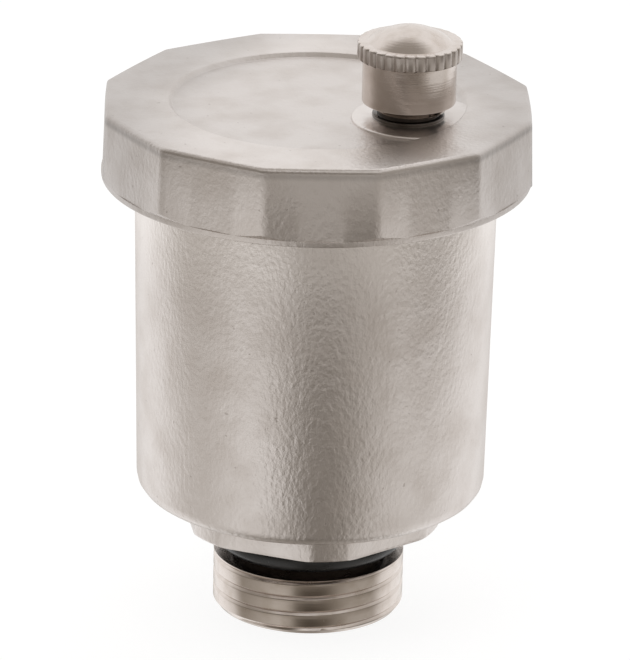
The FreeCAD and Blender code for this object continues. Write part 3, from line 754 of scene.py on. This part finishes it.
turn(nozzle_mesh, outline([
    (relief_r, nozzle_thread_z),
    (relief_r, foot_ring_z, 0.1),
    (foot_ring_r, foot_ring_z, 0.08),
    (foot_ring_r, boss_z),
    (stem_r, boss_z),
    (stem_r, nozzle_end_z, 0.3),
    (seat_hole_r, nozzle_end_z),
    (seat_hole_r, seat_hole_z),
    (air_bore_r, seat_hole_z),
    (air_bore_r, nozzle_top_z),
]), steps=nozzle_columns)
close_ring(nozzle_mesh, nozzle_thread_z)
close_ring(nozzle_mesh, nozzle_top_z)
for vert in nozzle_mesh.verts:
    for side in (0, math.pi):
        slot_frame = Matrix.Rotation(slot_turn + side, 3, "Z")
        place = slot_frame.inverted() @ vert.co
        in_slot = abs(place.y) < slot_half_width and place.x > slot_floor_x
        if in_slot and place.z > nozzle_thread_z + slack:
            place.x = slot_floor_x
            vert.co = slot_frame @ place
# Painted shade under the dust cap: the nozzle's finish is darkened towards black, its foot ring's much more,
# and its relief takes the groove's painted shade.
nozzle_finish = turned_nickel("nozzle_nickel", nozzle_axis, darker=0.35)
shaded_foot_finish = turned_nickel("foot_nickel", nozzle_axis, darker=0.8)
nozzle_finishes = [nozzle_finish, groove_shade_finish, shaded_foot_finish]
for face in nozzle_mesh.faces:
    height = face.calc_center_median().z
    if foot_ring_z + slack < height < nozzle_thread_z:
        finish = groove_shade_finish
    elif boss_z < height < foot_ring_z + slack:
        finish = shaded_foot_finish
    else:
        finish = nozzle_finish
    face.material_index = nozzle_finishes.index(finish)
nozzle_piece = make_piece(nozzle_mesh, "air_nozzle", nozzle_finishes, nozzle_axis)
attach(nozzle_piece, "housing")
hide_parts("vent_nozzle")

# Dust cap. Turned brass, nickel plated: a plain barrel, a flange with thirty straight knurled
# ribs, a rim and a low dome. Inside is a plain bore, where the real cap is threaded for the nozzle.
cap_low, cap_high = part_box("dust_cap")
cap_foot_z = cap_low.z / mm
cap_top_z = cap_high.z / mm
cap_flange_r = (cap_high.x - cap_low.x) / 2 / mm
cap_dome_height = 1.62
cap_flange_height = 1.75
cap_flange_top_z = cap_top_z - cap_dome_height
cap_barrel_top_z = cap_flange_top_z - cap_flange_height
cap_barrel_r = 5.05
cap_bore_r = 4.05
cap_ceiling_z = nozzle_top_z + 0.9
cap_dome_r = 4.54
rib_count = 30
rib_columns = 12
rib_depth = 0.17
rib_root_r = cap_barrel_r + 0.3
knurl_margin = 0.05
dome_steps = 14
dome_sphere_r = (cap_dome_r ** 2 + cap_dome_height ** 2) / (2 * cap_dome_height)
dome_sweep = math.asin(cap_dome_r / dome_sphere_r)
dome = []
for step in range(dome_steps + 1):
    angle = dome_sweep * (1 - step / dome_steps)
    dome.append((dome_sphere_r * math.sin(angle), cap_top_z - dome_sphere_r * (1 - math.cos(angle))))
cap_mesh = bmesh.new()
turn(cap_mesh, outline([
    (0, cap_ceiling_z),
    (cap_bore_r, cap_ceiling_z),
    (cap_bore_r, cap_foot_z, 0.2),
    (cap_barrel_r, cap_foot_z, 0.15),
    (cap_barrel_r, cap_barrel_top_z, 0.08),
    (cap_flange_r, cap_barrel_top_z, 0.12),
    (cap_flange_r, cap_flange_top_z, 0.22),
    *dome,
]), steps=rib_count * rib_columns)
for vert in cap_mesh.verts:
    reach = from_axis(vert.co)
    if cap_barrel_top_z + slack < vert.co.z < cap_flange_top_z - slack and reach > rib_root_r:
        share = math.atan2(vert.co.y, vert.co.x) * rib_count / (2 * math.pi) % 1
        from_rib = abs(share - 0.5) * 2
        pull_in(vert, reach - rib_depth * from_rib ** 3)
# Painted shade: the cap's finish is darkened a little towards black, and the knurled ribs' much more.
cap_finish = turned_nickel("cap_nickel", nozzle_axis, darker=0.06, line_depth=0.03)
knurl_finish = turned_nickel("knurled_nickel", nozzle_axis, roughness=0.28, darker=0.28)
cap_finishes = [cap_finish, knurl_finish]
for face in cap_mesh.faces:
    middle = face.calc_center_median()
    knurled = cap_barrel_top_z - slack < middle.z < cap_flange_top_z - knurl_margin
    if knurled and from_axis(middle) > cap_barrel_r + knurl_margin:
        face.material_index = cap_finishes.index(knurl_finish)
cap_piece = make_piece(cap_mesh, "dust_cap_shell", cap_finishes, nozzle_axis)
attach(cap_piece, "cap")
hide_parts("dust_cap")

# Seals inside: the square-cut ring under the lid, the washer under the nozzle, the disc in the
# dust cap and the lever's pad, all of the same moulded rubber.
def dress(nodes, finish):
    """Give CAD pieces their finish."""
    for node in nodes:
        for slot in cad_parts[node].material_slots:
            slot.material = finish


dress(["lid_o_ring", "nozzle_washer", "cap_seal", "valve_pad"], rubber_finish)

# Brass pieces inside: the nozzle's nut, the pad's cup, and the float's stem with its nut, turned
# from bar and left bare.
brass_colour = (0.72, 0.55, 0.28, 1)
brass_dull = (0.52, 0.37, 0.17, 1)


def bare_brass():
    """Machined brass, a little dull in patches from hot water."""
    finish, skin, place = start_finish("bare_brass")
    stains = skin.add("TexNoise", inputs={"Vector": place, "Scale": 380.0, "Detail": 4.0})
    lines = skin.add("TexNoise", inputs={"Vector": place, "Scale": 4200.0, "Detail": 1.0})
    stained = skin.add("MapRange", inputs={"Value": stains, "From Min": 0.4, "From Max": 0.7})
    relief = skin.add("Bump", inputs={"Height": lines, "Distance": 0.006 * mm, "Strength": 1.0})
    end_finish(skin, {"Base Color": skin.mix(stained, brass_colour, brass_dull), "Metallic": 1.0,
                      "Roughness": 0.24 + stained * 0.2, "Normal": relief})
    return finish


dress(["nozzle_nut", "pad_cup", "float_stem", "stem_nut"], bare_brass())

# Stainless pieces inside: the pressed lever and its bracket, the hinge pin with its spring ring,
# the float's cross pin and the valve seat.
steel_colour = (0.62, 0.62, 0.63, 1)
steel_dull = (0.50, 0.50, 0.51, 1)


def stainless_steel():
    """Rolled stainless sheet and wire with a fine grain along X."""
    finish, skin, place = start_finish("stainless_steel")
    rolled = skin.add("Mapping", inputs={"Vector": place, "Scale": (0.06, 1.0, 1.0)})
    grain = skin.add("TexNoise", inputs={"Vector": rolled, "Scale": 7000.0, "Detail": 2.0})
    relief = skin.add("Bump", inputs={"Height": grain, "Distance": 0.005 * mm, "Strength": 1.0})
    end_finish(skin, {"Base Color": skin.mix(grain, steel_colour, steel_dull), "Metallic": 1.0,
                      "Roughness": 0.2 + grain * 0.12, "Normal": relief})
    return finish


dress(["lever", "lever_bracket", "hinge_pin", "pin_ring", "stem_pin", "valve_seat"], stainless_steel())

# Float: a hollow moulding of natural plastic, closed below by a welded disc. It hangs on the
# lever by its stem and rises with the water.
plastic_colour = (0.74, 0.72, 0.66, 1)
plastic_shade = (0.66, 0.63, 0.55, 1)


def float_plastic():
    """Natural moulded plastic, waxy, with faint flow marks."""
    finish, skin, place = start_finish("float_plastic")
    flow = skin.add("TexNoise", inputs={"Vector": place, "Scale": 160.0, "Detail": 3.0, "Distortion": 0.6})
    grain = skin.add("TexNoise", inputs={"Vector": place, "Scale": 3200.0, "Detail": 1.0})
    relief = skin.add("Bump", inputs={"Height": grain, "Distance": 0.008 * mm, "Strength": 1.0})
    end_finish(skin, {"Base Color": skin.mix(flow, plastic_colour, plastic_shade),
                      "Roughness": 0.38 + flow * 0.12, "Normal": relief})
    return finish


dress(["float_shell", "float_base"], float_plastic())
